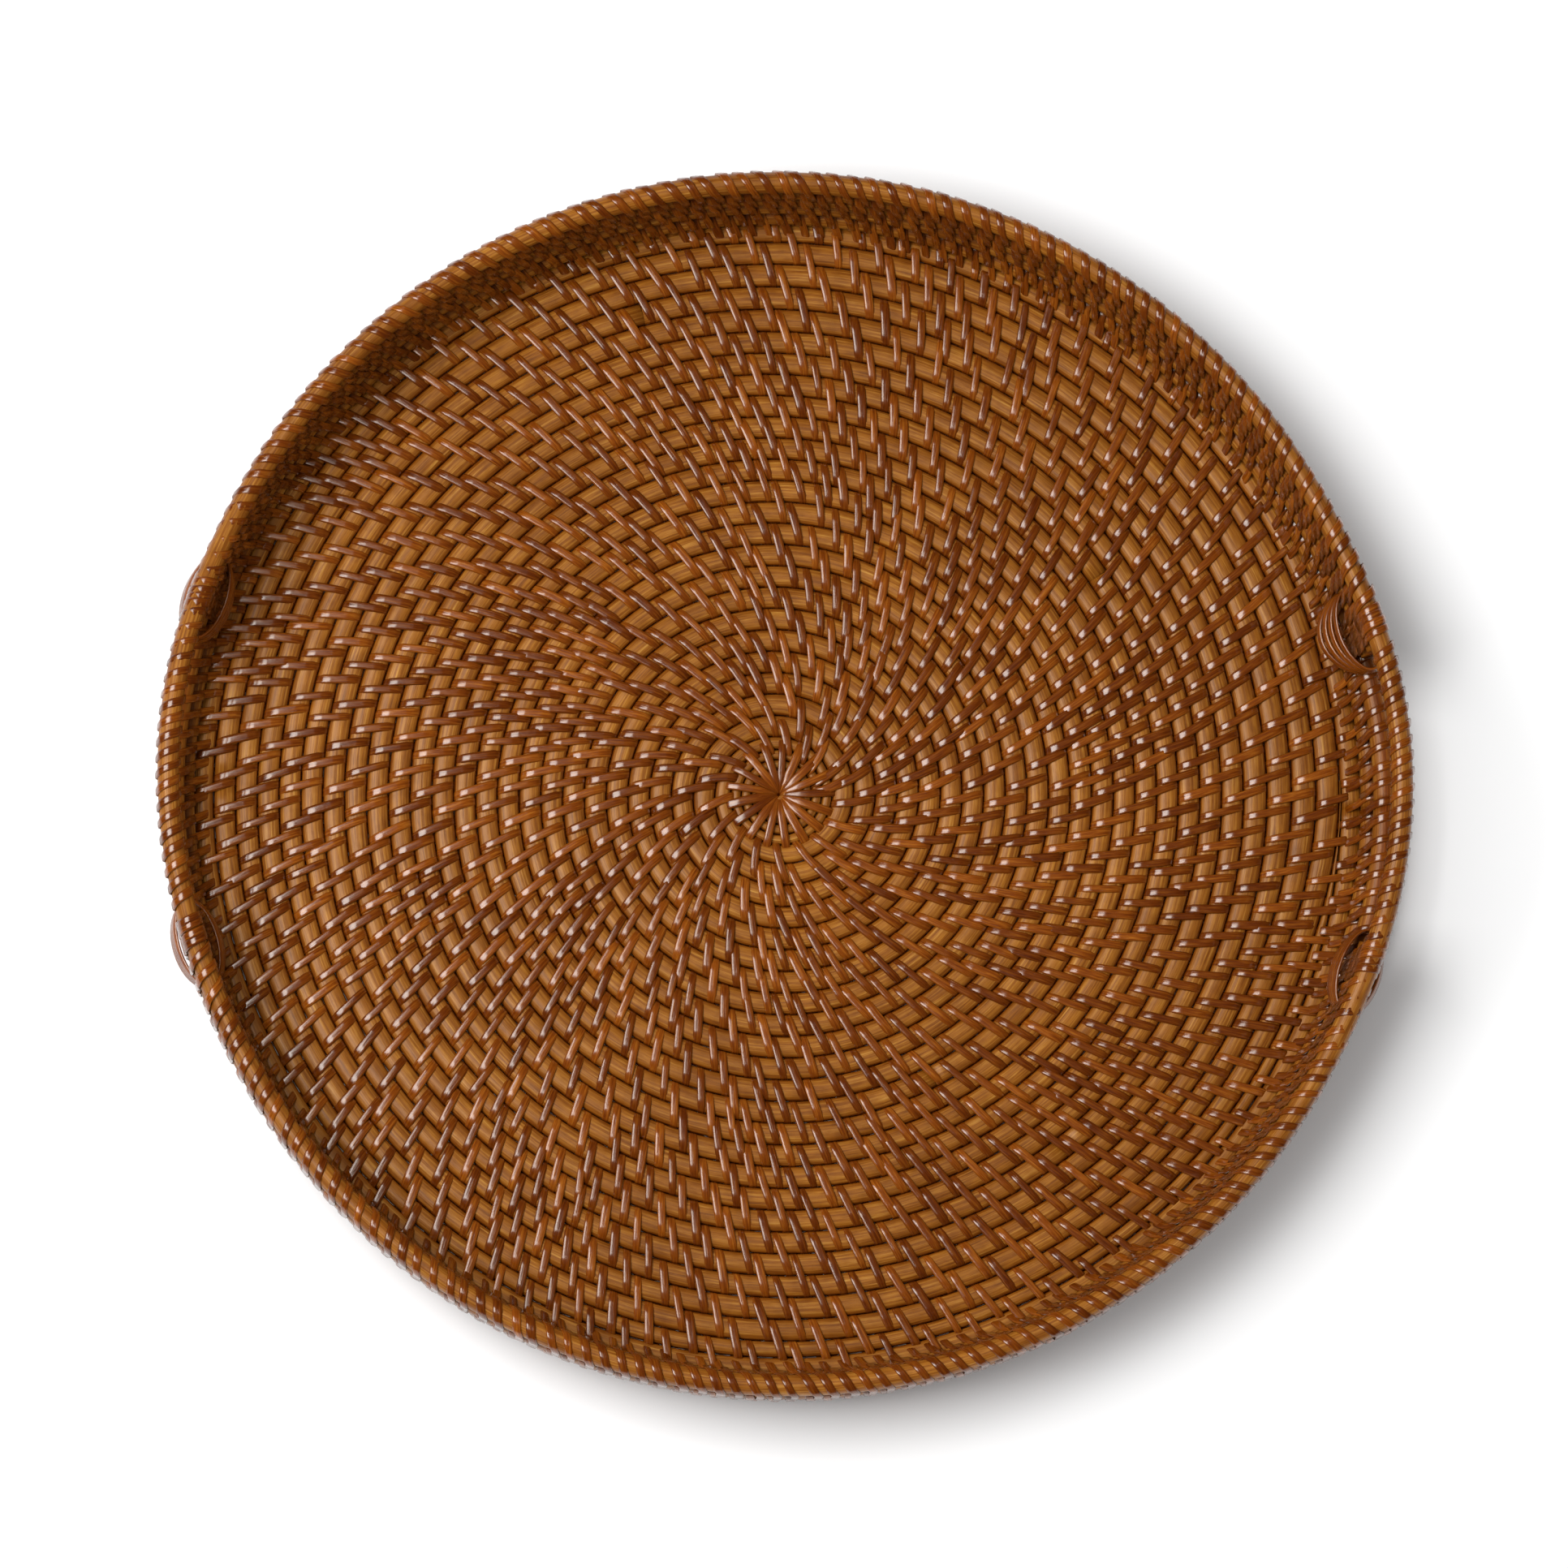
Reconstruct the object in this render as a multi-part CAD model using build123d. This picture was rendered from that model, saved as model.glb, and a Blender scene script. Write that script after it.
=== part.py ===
from build123d import *
from math import cos, degrees, radians, sin, sqrt
import os

# A round, shallow winnowing basket of coiled rattan with two hand slots.
#
# Frame: millimetres, +Z up. The origin is on the ground at the middle of the
# floor. The two hand slots look along +X and -X. The front is the -Y side.
#
# A coiled basket is one long rattan core wound in a flat spiral and then
# stacked up as a wall. A thin flat strip stitches each row to the next one.

# ---------------------------------------------------------------- sizes ---

# Floor: rows of core, one beside the other.
floor_pitch = 7.2            # from the middle of one row to the next
floor_row_gap = 0.3          # between the bound faces of two rows
floor_core_height = 6.2
floor_core_bevel = 1.8       # shoulders of the flattened core
floor_start_gap = 1.8        # from the centre coil to the innermost full-size row
floor_turns = 22             # full turns of the floor spiral
floor_lengths = 6            # rattan lengths spliced into the floor spiral
splice_gap = 0.2             # joint between two lengths, and under a tail

# Centre: thinner core in a tighter spiral, under long radial stitches.
centre_pitch = 3.4
centre_core_width = 3.1
centre_core_height = 5.2
centre_core_bevel = 0.9
centre_first_radius = 4.3
centre_turns = 4
centre_stitches = 17
centre_stitch_gap = 0.55     # from a long stitch's end to the first full-size row
knot_radius = 6.6
knot_gap = 0.8               # from the knot to the long stitches

# Wall: rows of round core stacked on the floor's outermost row.
wall_core_radius = 3.65      # with its strip round it
wall_row_gap = 0.5           # between two wall rows
wall_seat_gap = 0.5          # between the first wall row and the edge row's shoulder
wall_seat_angle = 50.4       # the way from that shoulder to the first wall row
wall_lean = (0.0, 2.0, 3.0, 3.5)   # how far each row stands outside the first
rim_core_radius = 4.1        # with its strip round it
rim_gap = 0.45               # between the top wall row and the rim
rim_lean = 3.6

# Hand slots: gaps in the two upper wall rows, with the rim arched over them.
slot_half_angle = 14.0       # the cut ends of the upper rows, from the X axis
arch_half_angle = 32.0       # where the rim starts to lift and swing out
arch_rise = 11.0
arch_bulge = 2.4
third_row_rise_share = 0.5   # the third row lifts only part of the way

# Binding strip.
strip_width = 2.2
strip_thickness = 0.6
strip_clearance = 0.1        # between a strip and the core that it lies on

# Binding loops: four at the ends of the slots, each of four strips.
loop_strips = 4
loop_strip_height = 2.2
loop_strip_thickness = 1.1
loop_strip_step = 2.6
loop_half_length = 14.4
loop_stand_off = 2.45        # from the wall's face to the loop's inside
loop_depth_step = 0.25       # each strip stands a little further out
loop_wall_clearance = 1.0
loop_end_clearance = 3.1     # from the end that goes round through the slot to the rows

# ------------------------------------------------------------ worked out ---

centre_last_radius = centre_first_radius + (2 * centre_turns - 1) * centre_pitch / 2
floor_core_width = floor_pitch - floor_row_gap
floor_shift = floor_pitch / 4    # the two halves of a turn have two centres
floor_first_radius = centre_last_radius + (centre_core_width + floor_core_width) / 2 + floor_start_gap
floor_last_radius = floor_first_radius + floor_turns * floor_pitch
centre_stitch_inner = knot_radius + knot_gap
centre_stitch_outer = floor_first_radius - floor_shift - floor_core_width / 2 - centre_stitch_gap

edge_radius = floor_last_radius + floor_shift + floor_pitch
edge_shoulder_radius = edge_radius + (floor_core_width - floor_core_bevel) / 2
edge_shoulder_height = floor_core_height - floor_core_bevel / 2
wall_seat = wall_core_radius + wall_seat_gap
wall_row_step = 2 * wall_core_radius + wall_row_gap
first_wall_radius = edge_shoulder_radius + wall_seat * cos(radians(wall_seat_angle))
first_wall_height = edge_shoulder_height + wall_seat * sin(radians(wall_seat_angle))
wall_radii = [first_wall_radius + lean for lean in wall_lean]
wall_heights = [first_wall_height + wall_row_step * row for row in range(len(wall_lean))]
rim_radius = first_wall_radius + rim_lean
rim_height = wall_heights[-1] + wall_core_radius + rim_core_radius + rim_gap

loop_half_depth = wall_core_radius + loop_stand_off + loop_strip_thickness
loop_radius = wall_radii[2] + arch_bulge * third_row_rise_share / 2
loop_end_angle = slot_half_angle - degrees(
    (loop_strip_thickness + loop_end_clearance) / loop_radius)


def row_section(width, height, bevel):
    """Flattened core section with bevelled shoulders, standing on the ground."""
    side = width / 2
    shoulder = side - bevel
    outline = Polyline(
        (-shoulder, 0), (shoulder, 0), (side, bevel), (side, height - bevel),
        (shoulder, height), (-shoulder, height), (-side, height - bevel), (-side, bevel),
        close=True)
    return make_face(outline)


def half_turn(radius, centre_x, start_angle, width, height, bevel, sweep_angle=180):
    """One arc of core: the section turned about an upright axis."""
    section = Plane.XZ * Pos(radius, 0) * row_section(width, height, bevel)
    arc = revolve(section, Axis.Z, sweep_angle)
    return Pos(centre_x, 0) * Rot(0, 0, start_angle) * arc


def spiral_arc(index, first_radius, pitch, width, height, bevel, sweep_angle=180):
    """Half turn number index: each is half a pitch wider than the one before."""
    side = -1 if index % 2 == 0 else 1
    radius = first_radius + index * pitch / 2
    start = 180 * (index % 2)
    return half_turn(radius, side * pitch / 4, start, width, height, bevel, sweep_angle)


def joined(arcs):
    """Neighbouring arcs of one length of core, as a single solid."""
    whole = arcs[0]
    for arc in arcs[1:]:
        whole = whole.fuse(arc)
    return whole


# ----------------------------------------------------------------- centre ---

def centre_coil():
    """The thin core's tight spiral."""
    arcs = [
        spiral_arc(index, centre_first_radius, centre_pitch, centre_core_width,
                   centre_core_height, centre_core_bevel)
        for index in range(2 * centre_turns)
    ]
    return joined(arcs)


def centre_knot():
    """The small domed knot of strip that closes the very middle."""
    base = Pos(0, 0, centre_core_height + strip_clearance)
    standing = (Align.CENTER, Align.CENTER, Align.MIN)
    knot = base * Cylinder(knot_radius, strip_thickness * 2, align=standing)
    top_edge = knot.edges().filter_by(GeomType.CIRCLE).sort_by(Axis.Z)[-1]
    return fillet(top_edge, strip_thickness)


def centre_binding():
    """Long stitches that fan out from the knot over the centre coil."""
    length = centre_stitch_outer - centre_stitch_inner
    outwards = (Align.MIN, Align.CENTER, Align.MIN)
    bar = Box(length, strip_width, strip_thickness, align=outwards)
    seat = Pos(centre_stitch_inner, 0, centre_core_height + strip_clearance)
    step = 360 / centre_stitches
    return [Rot(0, 0, step * number) * seat * bar for number in range(centre_stitches)]


# ------------------------------------------------------------------ floor ---

def floor_cores():
    """The floor spiral as lengths of nearly equal run, end to end."""
    arc_count = 2 * floor_turns + 1
    runs = [floor_first_radius + index * floor_pitch / 2 for index in range(arc_count)]
    share = sum(runs) / floor_lengths
    lengths = []
    group = []
    filled = 0.0
    for index in range(arc_count):
        radius = runs[index]
        trim = degrees(splice_gap / radius)
        starts_length = not group
        turn = 180 - trim if starts_length else 180
        arc = spiral_arc(index, floor_first_radius, floor_pitch, floor_core_width,
                         floor_core_height, floor_core_bevel, turn)
        if starts_length:
            centre_x = floor_shift * (1 if index % 2 else -1)
            arc = Pos(centre_x, 0) * Rot(0, 0, trim) * Pos(-centre_x, 0) * arc
        group.append(arc)
        filled += radius
        if filled >= share * (len(lengths) + 1) - runs[-1] / 2 or index == arc_count - 1:
            lengths.append(joined(group))
            group = []
    return lengths


def floor_tail():
    """The last length's shaved tail: it closes the spiral into a round."""
    outer = Circle(edge_radius - floor_pitch / 2 - floor_row_gap / 2)
    boundary = floor_core_width / 2 + floor_row_gap
    upper = Pos(-floor_shift, 0) * Circle(floor_last_radius + boundary)
    lower = Pos(floor_shift, 0) * Circle(floor_last_radius - floor_pitch / 2 + boundary)
    big = 2 * edge_radius
    below = Pos(0, -big / 2) * Rectangle(big, big)
    above = Pos(0, big / 2) * Rectangle(big, big)
    crescent = (outer - lower) & below
    wedge = (outer - upper) & above & (Pos(big / 2, 0) * Rectangle(big, big))
    outline = crescent + wedge
    gap = Pos(-edge_radius, 0) * Rectangle(4 * floor_pitch, 2 * splice_gap)
    return extrude(outline - gap, floor_core_height)


def floor_edge_core():
    """The floor's outermost row, a full round that carries the wall."""
    return half_turn(
        edge_radius, 0, 0, floor_core_width, floor_core_height, floor_core_bevel, 360)


# ------------------------------------------------------------------- wall ---

def biarc(start, start_way, end, end_way):
    """Two arcs, tangent to each other, from start to end along the two ways."""
    chord = end - start
    both = start_way + end_way
    spread = 2 * (1 - start_way.dot(end_way))
    along = chord.dot(both)
    reach = (sqrt(along ** 2 + spread * chord.dot(chord)) - along) / spread
    first_knee = start + start_way * reach
    last_knee = end - end_way * reach
    middle = (first_knee + last_knee) * 0.5
    middle_way = (last_knee - first_knee).normalized()
    return [
        Edge.make_tangent_arc(start, start_way, middle),
        Edge.make_tangent_arc(middle, middle_way, end),
    ]


def ring_path(radius, height, rise, bulge):
    """A round that lifts and swings out over both hand slots."""
    def point(angle):
        return Vector(radius * cos(radians(angle)), radius * sin(radians(angle)), height)

    def way(angle):
        return Vector(-sin(radians(angle)), cos(radians(angle)), 0)

    edges = []
    for turned in (0, 180):
        sign = 1 if turned == 0 else -1
        top = Vector(sign * (radius + bulge), 0, height + rise)
        first = turned - arch_half_angle
        last = turned + arch_half_angle
        edges += biarc(point(first), way(first), top, way(turned))
        edges += biarc(top, way(turned), point(last), way(last))
        side = turned + 90
        edges.append(Edge.make_three_point_arc(point(last), point(side), point(180 + first)))
    return Wire(edges)


def rod(path, radius):
    """Round core along a path."""
    return sweep(Plane(path @ 0, z_dir=path % 0) * Circle(radius), path=path)


def level_row(radius, height):
    """Front and back lengths of a level row, spliced under the hand slots."""
    trim = degrees(splice_gap / radius)
    section = Plane.XZ * Pos(radius, height) * Circle(wall_core_radius)
    back = Rot(0, 0, trim / 2) * revolve(section, Axis.Z, 180 - trim)
    return Rot(0, 0, 180) * back, back


def slot_wedges(half_angle):
    """Two upright wedges that stand where the hand slots are."""
    reach = 2 * edge_radius
    corner = Vector(reach * cos(radians(half_angle)), reach * sin(radians(half_angle)))
    outline = Polyline((0, 0), (corner.X, -corner.Y), (corner.X, corner.Y), close=True)
    wedge = extrude(make_face(outline), 2 * reach)
    return [wedge, Rot(0, 0, 180) * wedge]


def cut_at_slots(rounds):
    """A full row with its two slot stretches taken out: front and back pieces."""
    left = rounds
    for wedge in slot_wedges(slot_half_angle):
        left = left - wedge
    pieces = left.solids().sort_by(Axis.Y)
    return pieces[0], pieces[-1]


# ---------------------------------------------------------- binding loops ---

def loop_strip(number):
    """One strip of a loop: it goes round the wall's end and stops at its faces."""
    depth = loop_half_depth + number * loop_depth_step
    outline = Ellipse(loop_half_length, depth) - Ellipse(
        loop_half_length - loop_strip_thickness, depth - loop_strip_thickness)
    wall_half = wall_core_radius + loop_wall_clearance
    blocked = Pos(loop_half_length, 0) * Rectangle(2 * loop_half_length, 2 * wall_half)
    return extrude(outline - blocked, loop_strip_height)


def binding_loop(side, hand):
    """Four strips at one end of one slot; side is +-1 along X, hand +-1 along Y."""
    half_turned = degrees(loop_half_length / loop_radius)
    angle = loop_end_angle + half_turned
    low = wall_heights[2] - loop_strip_step * (loop_strips - 1) / 2
    strips = []
    for number in range(loop_strips):
        height = low + number * loop_strip_step
        place = Rot(0, 0, angle) * Pos(loop_radius, 0, height) * Rot(0, 0, 90)
        strip = place * loop_strip(number)
        if hand < 0:
            strip = mirror(strip, about=Plane.XZ)
        if side < 0:
            strip = mirror(strip, about=Plane.YZ)
        strips.append(strip)
    return strips


# ------------------------------------------------------------------ build ---

def build():
    """Every node of the basket, by name."""
    nodes = {
        "centre_coil": centre_coil(),
        "centre_knot": centre_knot(),
        "centre_binding": centre_binding(),
        "floor_edge_core": floor_edge_core(),
        "floor_tail": floor_tail(),
    }
    for number, length in enumerate(floor_cores(), start=1):
        nodes[f"floor_core_{number}"] = length

    for row in (0, 1):
        front, back = level_row(wall_radii[row], wall_heights[row])
        nodes[f"wall_core_{row + 1}_front"] = front
        nodes[f"wall_core_{row + 1}_back"] = back

    lifts = {2: third_row_rise_share, 3: 1.0}
    for row, share in lifts.items():
        path = ring_path(wall_radii[row], wall_heights[row], arch_rise * share, arch_bulge * share)
        front, back = cut_at_slots(rod(path, wall_core_radius))
        nodes[f"wall_core_{row + 1}_front"] = front
        nodes[f"wall_core_{row + 1}_back"] = back

    rim_path = ring_path(rim_radius, rim_height, arch_rise, arch_bulge)
    nodes["rim_core"] = rod(rim_path, rim_core_radius)

    for side, side_name in ((1, "right"), (-1, "left")):
        for hand, hand_name in ((-1, "front"), (1, "back")):
            nodes[f"binding_loop_{hand_name}_{side_name}"] = binding_loop(side, hand)
    return nodes


def as_one(shape):
    """A shape or a list of separate solids, ready to be written."""
    return Compound(children=shape) if isinstance(shape, list) else shape


os.makedirs("parts", exist_ok=True)
for name, shape in build().items():
    export_step(as_one(shape), f"parts/{name}.step")
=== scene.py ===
# %% [markdown]
# # A coiled rattan basket
# The basket is one long rattan core, wound in a flat spiral for the floor and stacked in rows for the wall.
# A thin flat strip sews every row to the next one. The solid model gives the places and sizes of all rows.
# It could be shown as it is, but it has no strips, so here each row and each strip is a surface of its own.

import math

import bpy
import numpy as np
from mathutils import Matrix, Vector


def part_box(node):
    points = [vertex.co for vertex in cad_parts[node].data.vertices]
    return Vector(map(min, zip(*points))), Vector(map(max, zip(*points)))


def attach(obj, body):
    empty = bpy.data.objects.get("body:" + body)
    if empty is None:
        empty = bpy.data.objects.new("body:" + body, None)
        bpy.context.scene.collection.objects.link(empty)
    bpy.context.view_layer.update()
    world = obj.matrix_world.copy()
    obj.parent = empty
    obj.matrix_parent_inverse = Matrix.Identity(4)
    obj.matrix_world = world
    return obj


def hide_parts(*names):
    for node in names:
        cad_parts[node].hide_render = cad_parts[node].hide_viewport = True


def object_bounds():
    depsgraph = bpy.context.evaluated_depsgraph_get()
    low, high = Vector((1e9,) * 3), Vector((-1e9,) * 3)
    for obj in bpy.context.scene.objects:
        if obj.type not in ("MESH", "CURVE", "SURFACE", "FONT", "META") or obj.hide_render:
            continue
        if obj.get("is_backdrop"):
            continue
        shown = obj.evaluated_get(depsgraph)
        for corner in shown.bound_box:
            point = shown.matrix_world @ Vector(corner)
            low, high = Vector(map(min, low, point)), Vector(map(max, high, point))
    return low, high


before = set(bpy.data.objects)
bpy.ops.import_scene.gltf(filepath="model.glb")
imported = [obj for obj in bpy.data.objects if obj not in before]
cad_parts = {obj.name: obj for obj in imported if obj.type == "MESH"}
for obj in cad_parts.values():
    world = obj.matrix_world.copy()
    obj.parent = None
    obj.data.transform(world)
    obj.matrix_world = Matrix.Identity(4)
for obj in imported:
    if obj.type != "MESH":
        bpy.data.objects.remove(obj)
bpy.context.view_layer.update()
MM = 0.001
rng = np.random.default_rng(41)
turn = 2 * math.pi

# %% [markdown]
# ## Where the rows lie
# Every row of core is a round at some radius and height. The lowest and highest corners of the solid rows
# give both, so nothing is measured twice. Five sizes can't be read from those corners: the pitch of the
# floor's spiral, the gap between its rows, the angles where a hand slot and the lift over it begin, and the
# rim's radius. The wall's cores are a hair thicker than the solid rows, so that little light comes through
# between them. The rim's core is thinner than the solid rim, because the strip round it has a thickness too.

# %% Rows of the floor, the wall and the rim
row_pitch = 7.2
row_gap = 0.3
slot_half_angle = math.radians(14.0)
arch_half_angle = math.radians(32.0)
rim_bound_radius = 4.1


def corners(node):
    """Lowest and highest corner of a solid node, in millimetres."""
    low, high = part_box(node)
    return np.array(low) / MM, np.array(high) / MM


edge_low, edge_high = corners("floor_edge_core")
edge_radius = edge_high[0] - (row_pitch - row_gap) / 2
first_low, first_high = corners("wall_core_1_back")
wall_bound_radius = (first_high[2] - first_low[2]) / 2
rim_low, rim_high = corners("rim_core")
rim_radius = rim_high[1] - rim_bound_radius
rim_height = rim_low[2] + rim_bound_radius
arch_rise = rim_high[2] - rim_bound_radius - rim_height
arch_bulge = rim_high[0] - rim_bound_radius - rim_radius

row_overlap = 0.05
rim_strip_room = 0.6
wall_core_radius = wall_bound_radius + row_overlap
rim_core_radius = rim_bound_radius - rim_strip_room
edge_core_radius = 2.4
edge_core_rise = 0.2


def row(radius, height, lift, swing, core):
    """One row: radius, height, its shares of the arch's lift and outward swing, and its core's radius."""
    return {"radius": radius, "height": height, "lift": lift, "swing": swing, "core": core}


edge_middle = (edge_low[2] + edge_high[2]) / 2
edge_row = row(edge_radius, edge_middle + edge_core_rise, 0.0, 0.0, edge_core_radius)
wall_rows = []
arch_shares = ((1, 0.0, 0.5), (2, 0.0, 1.0), (3, 0.5, 1.0), (4, 1.0, 1.0))
for number, lift, swing in arch_shares:
    low, high = corners(f"wall_core_{number}_back")
    wall_rows.append(row(
        high[1] - wall_bound_radius, low[2] + wall_bound_radius, lift, swing, wall_core_radius))
rim_row = row(rim_radius, rim_height, 1.0, 1.0, rim_core_radius)
for one_row in [edge_row, *wall_rows, rim_row]:
    print("row at radius", round(one_row["radius"], 1), "height", round(one_row["height"], 1))


def arch(angle):
    """Height of the arch, 0 to 1, at an angle: 1 - 2s^2 near the slot, 2(1 - s)^2 further out, then 0."""
    away = np.abs((np.asarray(angle) + math.pi / 2) % math.pi - math.pi / 2)
    s = np.clip(away / arch_half_angle, 0, 1)
    return np.where(s < 0.5, 1 - 2 * s**2, 2 * (1 - s) ** 2)


def row_at(one_row, angle):
    """Radius and height of a row at an angle: the round plus its share of the arch."""
    share = arch(angle)
    return (one_row["radius"] + arch_bulge * one_row["swing"] * share,
            one_row["height"] + arch_rise * one_row["lift"] * share)


# %% [markdown]
# ## One helper for every piece
# Rattan is long and thin, so every piece is the same kind of surface: a small outline carried along a path.
# A curve object with a bevel could do it, but it can't keep a flat strip lying flat on its core.
# So the points are worked out here, and the quads between them close the sides and both ends.

# %% Outline carried along a path
def unit(vectors):
    """Each vector divided by its length."""
    return vectors / np.maximum(np.linalg.norm(vectors, axis=-1, keepdims=True), 1e-9)


def round_point(radius, angle, height):
    """Points from radius, angle and height: (radius cos angle, radius sin angle, height)."""
    radius, angle, height = np.broadcast_arrays(radius, angle, height)
    return np.stack([radius * np.cos(angle), radius * np.sin(angle), height], axis=-1)


def carried(path, across_hint, outline, width=1.0, depth=1.0):
    """Rings of points: path + across * a * width + out * b * depth for each outline point (a, b).

    across is the hint with its part along the path taken away, and out is the path's way crossed with it.
    """
    way = unit(np.gradient(path, axis=0))
    across = unit(across_hint - way * np.sum(across_hint * way, axis=-1, keepdims=True))
    out = np.cross(way, across)
    width = np.broadcast_to(width, len(path))[:, None, None]
    depth = np.broadcast_to(depth, len(path))[:, None, None]
    return (path[:, None] + across[:, None] * outline[None, :, :1] * width
            + out[:, None] * outline[None, :, 1:] * depth)


def quads(rings, around):
    """Quads of a closed tube: (i, j) to (i + 1, j + 1) round the sides, and a ladder of quads on each end.

    The number of points around has to be even.
    """
    i, j = np.meshgrid(np.arange(rings - 1), np.arange(around), indexing="ij")
    after = (j + 1) % around
    sides = np.stack([i * around + j, i * around + after, (i + 1) * around + after, (i + 1) * around + j], -1)
    k = np.arange(around // 2 - 1)
    cap = np.stack([k, k + 1, around - 2 - k, around - 1 - k], -1)
    return sides.reshape(-1, 4), np.concatenate([cap[:, ::-1], cap + (rings - 1) * around])


def signed_volume(points, faces):
    """Sum over quads of the volume between the quad and the origin; below 0 the faces look inwards."""
    a, b, c, d = (points[faces[:, n]] for n in range(4))
    return np.sum(a * np.cross(b, c)) + np.sum(a * np.cross(c, d))


made = {}


def piece(name, runs, material, stands_for=()):
    """Makes one object out of runs; a run is (rings, values), with rings (n, m, 3) in millimetres.

    Each run becomes a closed tube. values are per-point numbers, written as attributes of the mesh,
    and the UV map holds the length along the run and the way round it, both in millimetres. stands_for
    names the solid nodes that the object is shown in place of.
    """
    all_points, all_faces, all_uv, start = [], [], [], 0
    for rings, _ in runs:
        n, m = rings.shape[:2]
        points = rings.reshape(-1, 3)
        sides, caps = quads(n, m)
        flip = signed_volume(points, np.concatenate([sides, caps])) < 0
        middle = rings.mean(axis=1)
        along = np.concatenate([[0], np.cumsum(np.linalg.norm(np.diff(middle, axis=0), axis=1))])
        girth = np.linalg.norm(rings[n // 2] - np.roll(rings[n // 2], 1, axis=0), axis=1).sum()
        i, j = np.meshgrid(np.arange(n - 1), np.arange(m), indexing="ij")
        u = np.stack([along[i], along[i], along[i + 1], along[i + 1]], -1)
        v = np.stack([j, j + 1, j + 1, j], -1) * girth / m
        uv = np.concatenate([np.stack([u, v], -1).reshape(-1, 4, 2), np.zeros((len(caps), 4, 2))])
        faces = np.concatenate([sides, caps])
        if flip:
            faces, uv = faces[:, ::-1], uv[:, ::-1]
        all_points.append(points)
        all_faces.append(faces + start)
        all_uv.append(uv)
        start += len(points)
    points, faces = np.concatenate(all_points), np.concatenate(all_faces)
    mesh = bpy.data.meshes.new(name)
    mesh.vertices.add(len(points))
    mesh.vertices.foreach_set("co", (points * MM).astype(np.float32).ravel())
    mesh.loops.add(faces.size)
    mesh.loops.foreach_set("vertex_index", faces.astype(np.int32).ravel())
    mesh.polygons.add(len(faces))
    mesh.polygons.foreach_set("loop_start", np.arange(0, faces.size, 4, dtype=np.int32))
    mesh.update(calc_edges=True)
    mesh.uv_layers.new(name="run").data.foreach_set("uv", np.concatenate(all_uv).astype(np.float32).ravel())
    for key in runs[0][1]:
        values = np.concatenate([np.broadcast_to(v[key], r.shape[:2]).ravel() for r, v in runs])
        mesh.attributes.new(key, "FLOAT", "POINT").data.foreach_set("value", values.astype(np.float32))
    mesh.shade_smooth()
    mesh.materials.append(material)
    thing = bpy.data.objects.new(name, mesh)
    bpy.context.scene.collection.objects.link(thing)
    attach(thing, "root")
    if stands_for:
        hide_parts(*stands_for)
    made[name] = 2 * len(faces)
    print(f"{name}: {2 * len(faces)} triangles")


# %% [markdown]
# ## Finishes
# Both materials are rattan under brown lacquer. The core is the pale inside of the cane: fine grain runs
# along it. The strip is the darker skin of the cane, with a hard gloss. A picture could give the grain, but
# noise stretched along the run does it at any size, and never repeats. The "open" attribute is 0 deep in a
# crevice and 1 on a crest, and both materials darken where it is low: painted shade in the crevices and
# where a strip dives, with some lacquer pooled dark in the core's crevices too. "tone" makes each stitch a
# little different. Warm lacquer also tints what it reflects, so both materials have a warm specular tint.

# %% Node helpers
def new_material(name, roughness, coat, coat_roughness, shine):
    """A Principled material with its constant sockets set.

    Returns the material, its shader, a function that makes a node and a function that links two sockets.
    """
    material = bpy.data.materials.new(name)
    material.use_nodes = True
    tree = material.node_tree
    shader = tree.nodes["Principled BSDF"]
    shader.inputs["Roughness"].default_value = roughness
    shader.inputs["Coat Weight"].default_value = coat
    shader.inputs["Coat Roughness"].default_value = coat_roughness
    shader.inputs["Specular Tint"].default_value = (*shine, 1.0)
    shader.inputs["IOR"].default_value = 1.5

    def node(kind, links=None, **settings):
        made_node = tree.nodes.new(kind)
        for key, value in settings.items():
            setattr(made_node, key, value)
        for socket, source in (links or {}).items():
            target = made_node.inputs[socket]
            if isinstance(source, bpy.types.NodeSocket):
                tree.links.new(source, target)
            else:
                target.default_value = source
        return made_node

    return material, shader, node, tree.links.new


def streaks(node, stretch, detail, roughness=0.6):
    """Noise on the run's own UV map: stretch is how many noise cells go in a mm along and a mm round it."""
    run = node("ShaderNodeUVMap", uv_map="run")
    scaled = node("ShaderNodeMapping", {"Vector": run.outputs[0], "Scale": (*stretch, 1.0)})
    noise = node("ShaderNodeTexNoise", {
        "Vector": scaled.outputs[0], "Scale": 1.0, "Detail": detail, "Roughness": roughness})
    return noise.outputs["Fac"]


def ramp(node, factor, stops):
    """Colour ramp from (place, colour) stops."""
    made_ramp = node("ShaderNodeValToRGB", {"Fac": factor})
    elements = made_ramp.color_ramp.elements
    while len(elements) < len(stops):
        elements.new(0.5)
    for element, (place, colour) in zip(elements, stops):
        element.position = place
        element.color = (*colour, 1.0)
    return made_ramp.outputs["Color"]


def mixed(node, blend, factor, first, second):
    """Two colours mixed in one of the blend ways."""
    mix = node("ShaderNodeMix", data_type="RGBA", blend_type=blend)
    tree = mix.id_data
    for socket, value in ((mix.inputs[0], factor), (mix.inputs[6], first), (mix.inputs[7], second)):
        if isinstance(value, bpy.types.NodeSocket):
            tree.links.new(value, socket)
        else:
            socket.default_value = value if isinstance(value, float) else (*value, 1.0)
    return mix.outputs[2]


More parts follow.
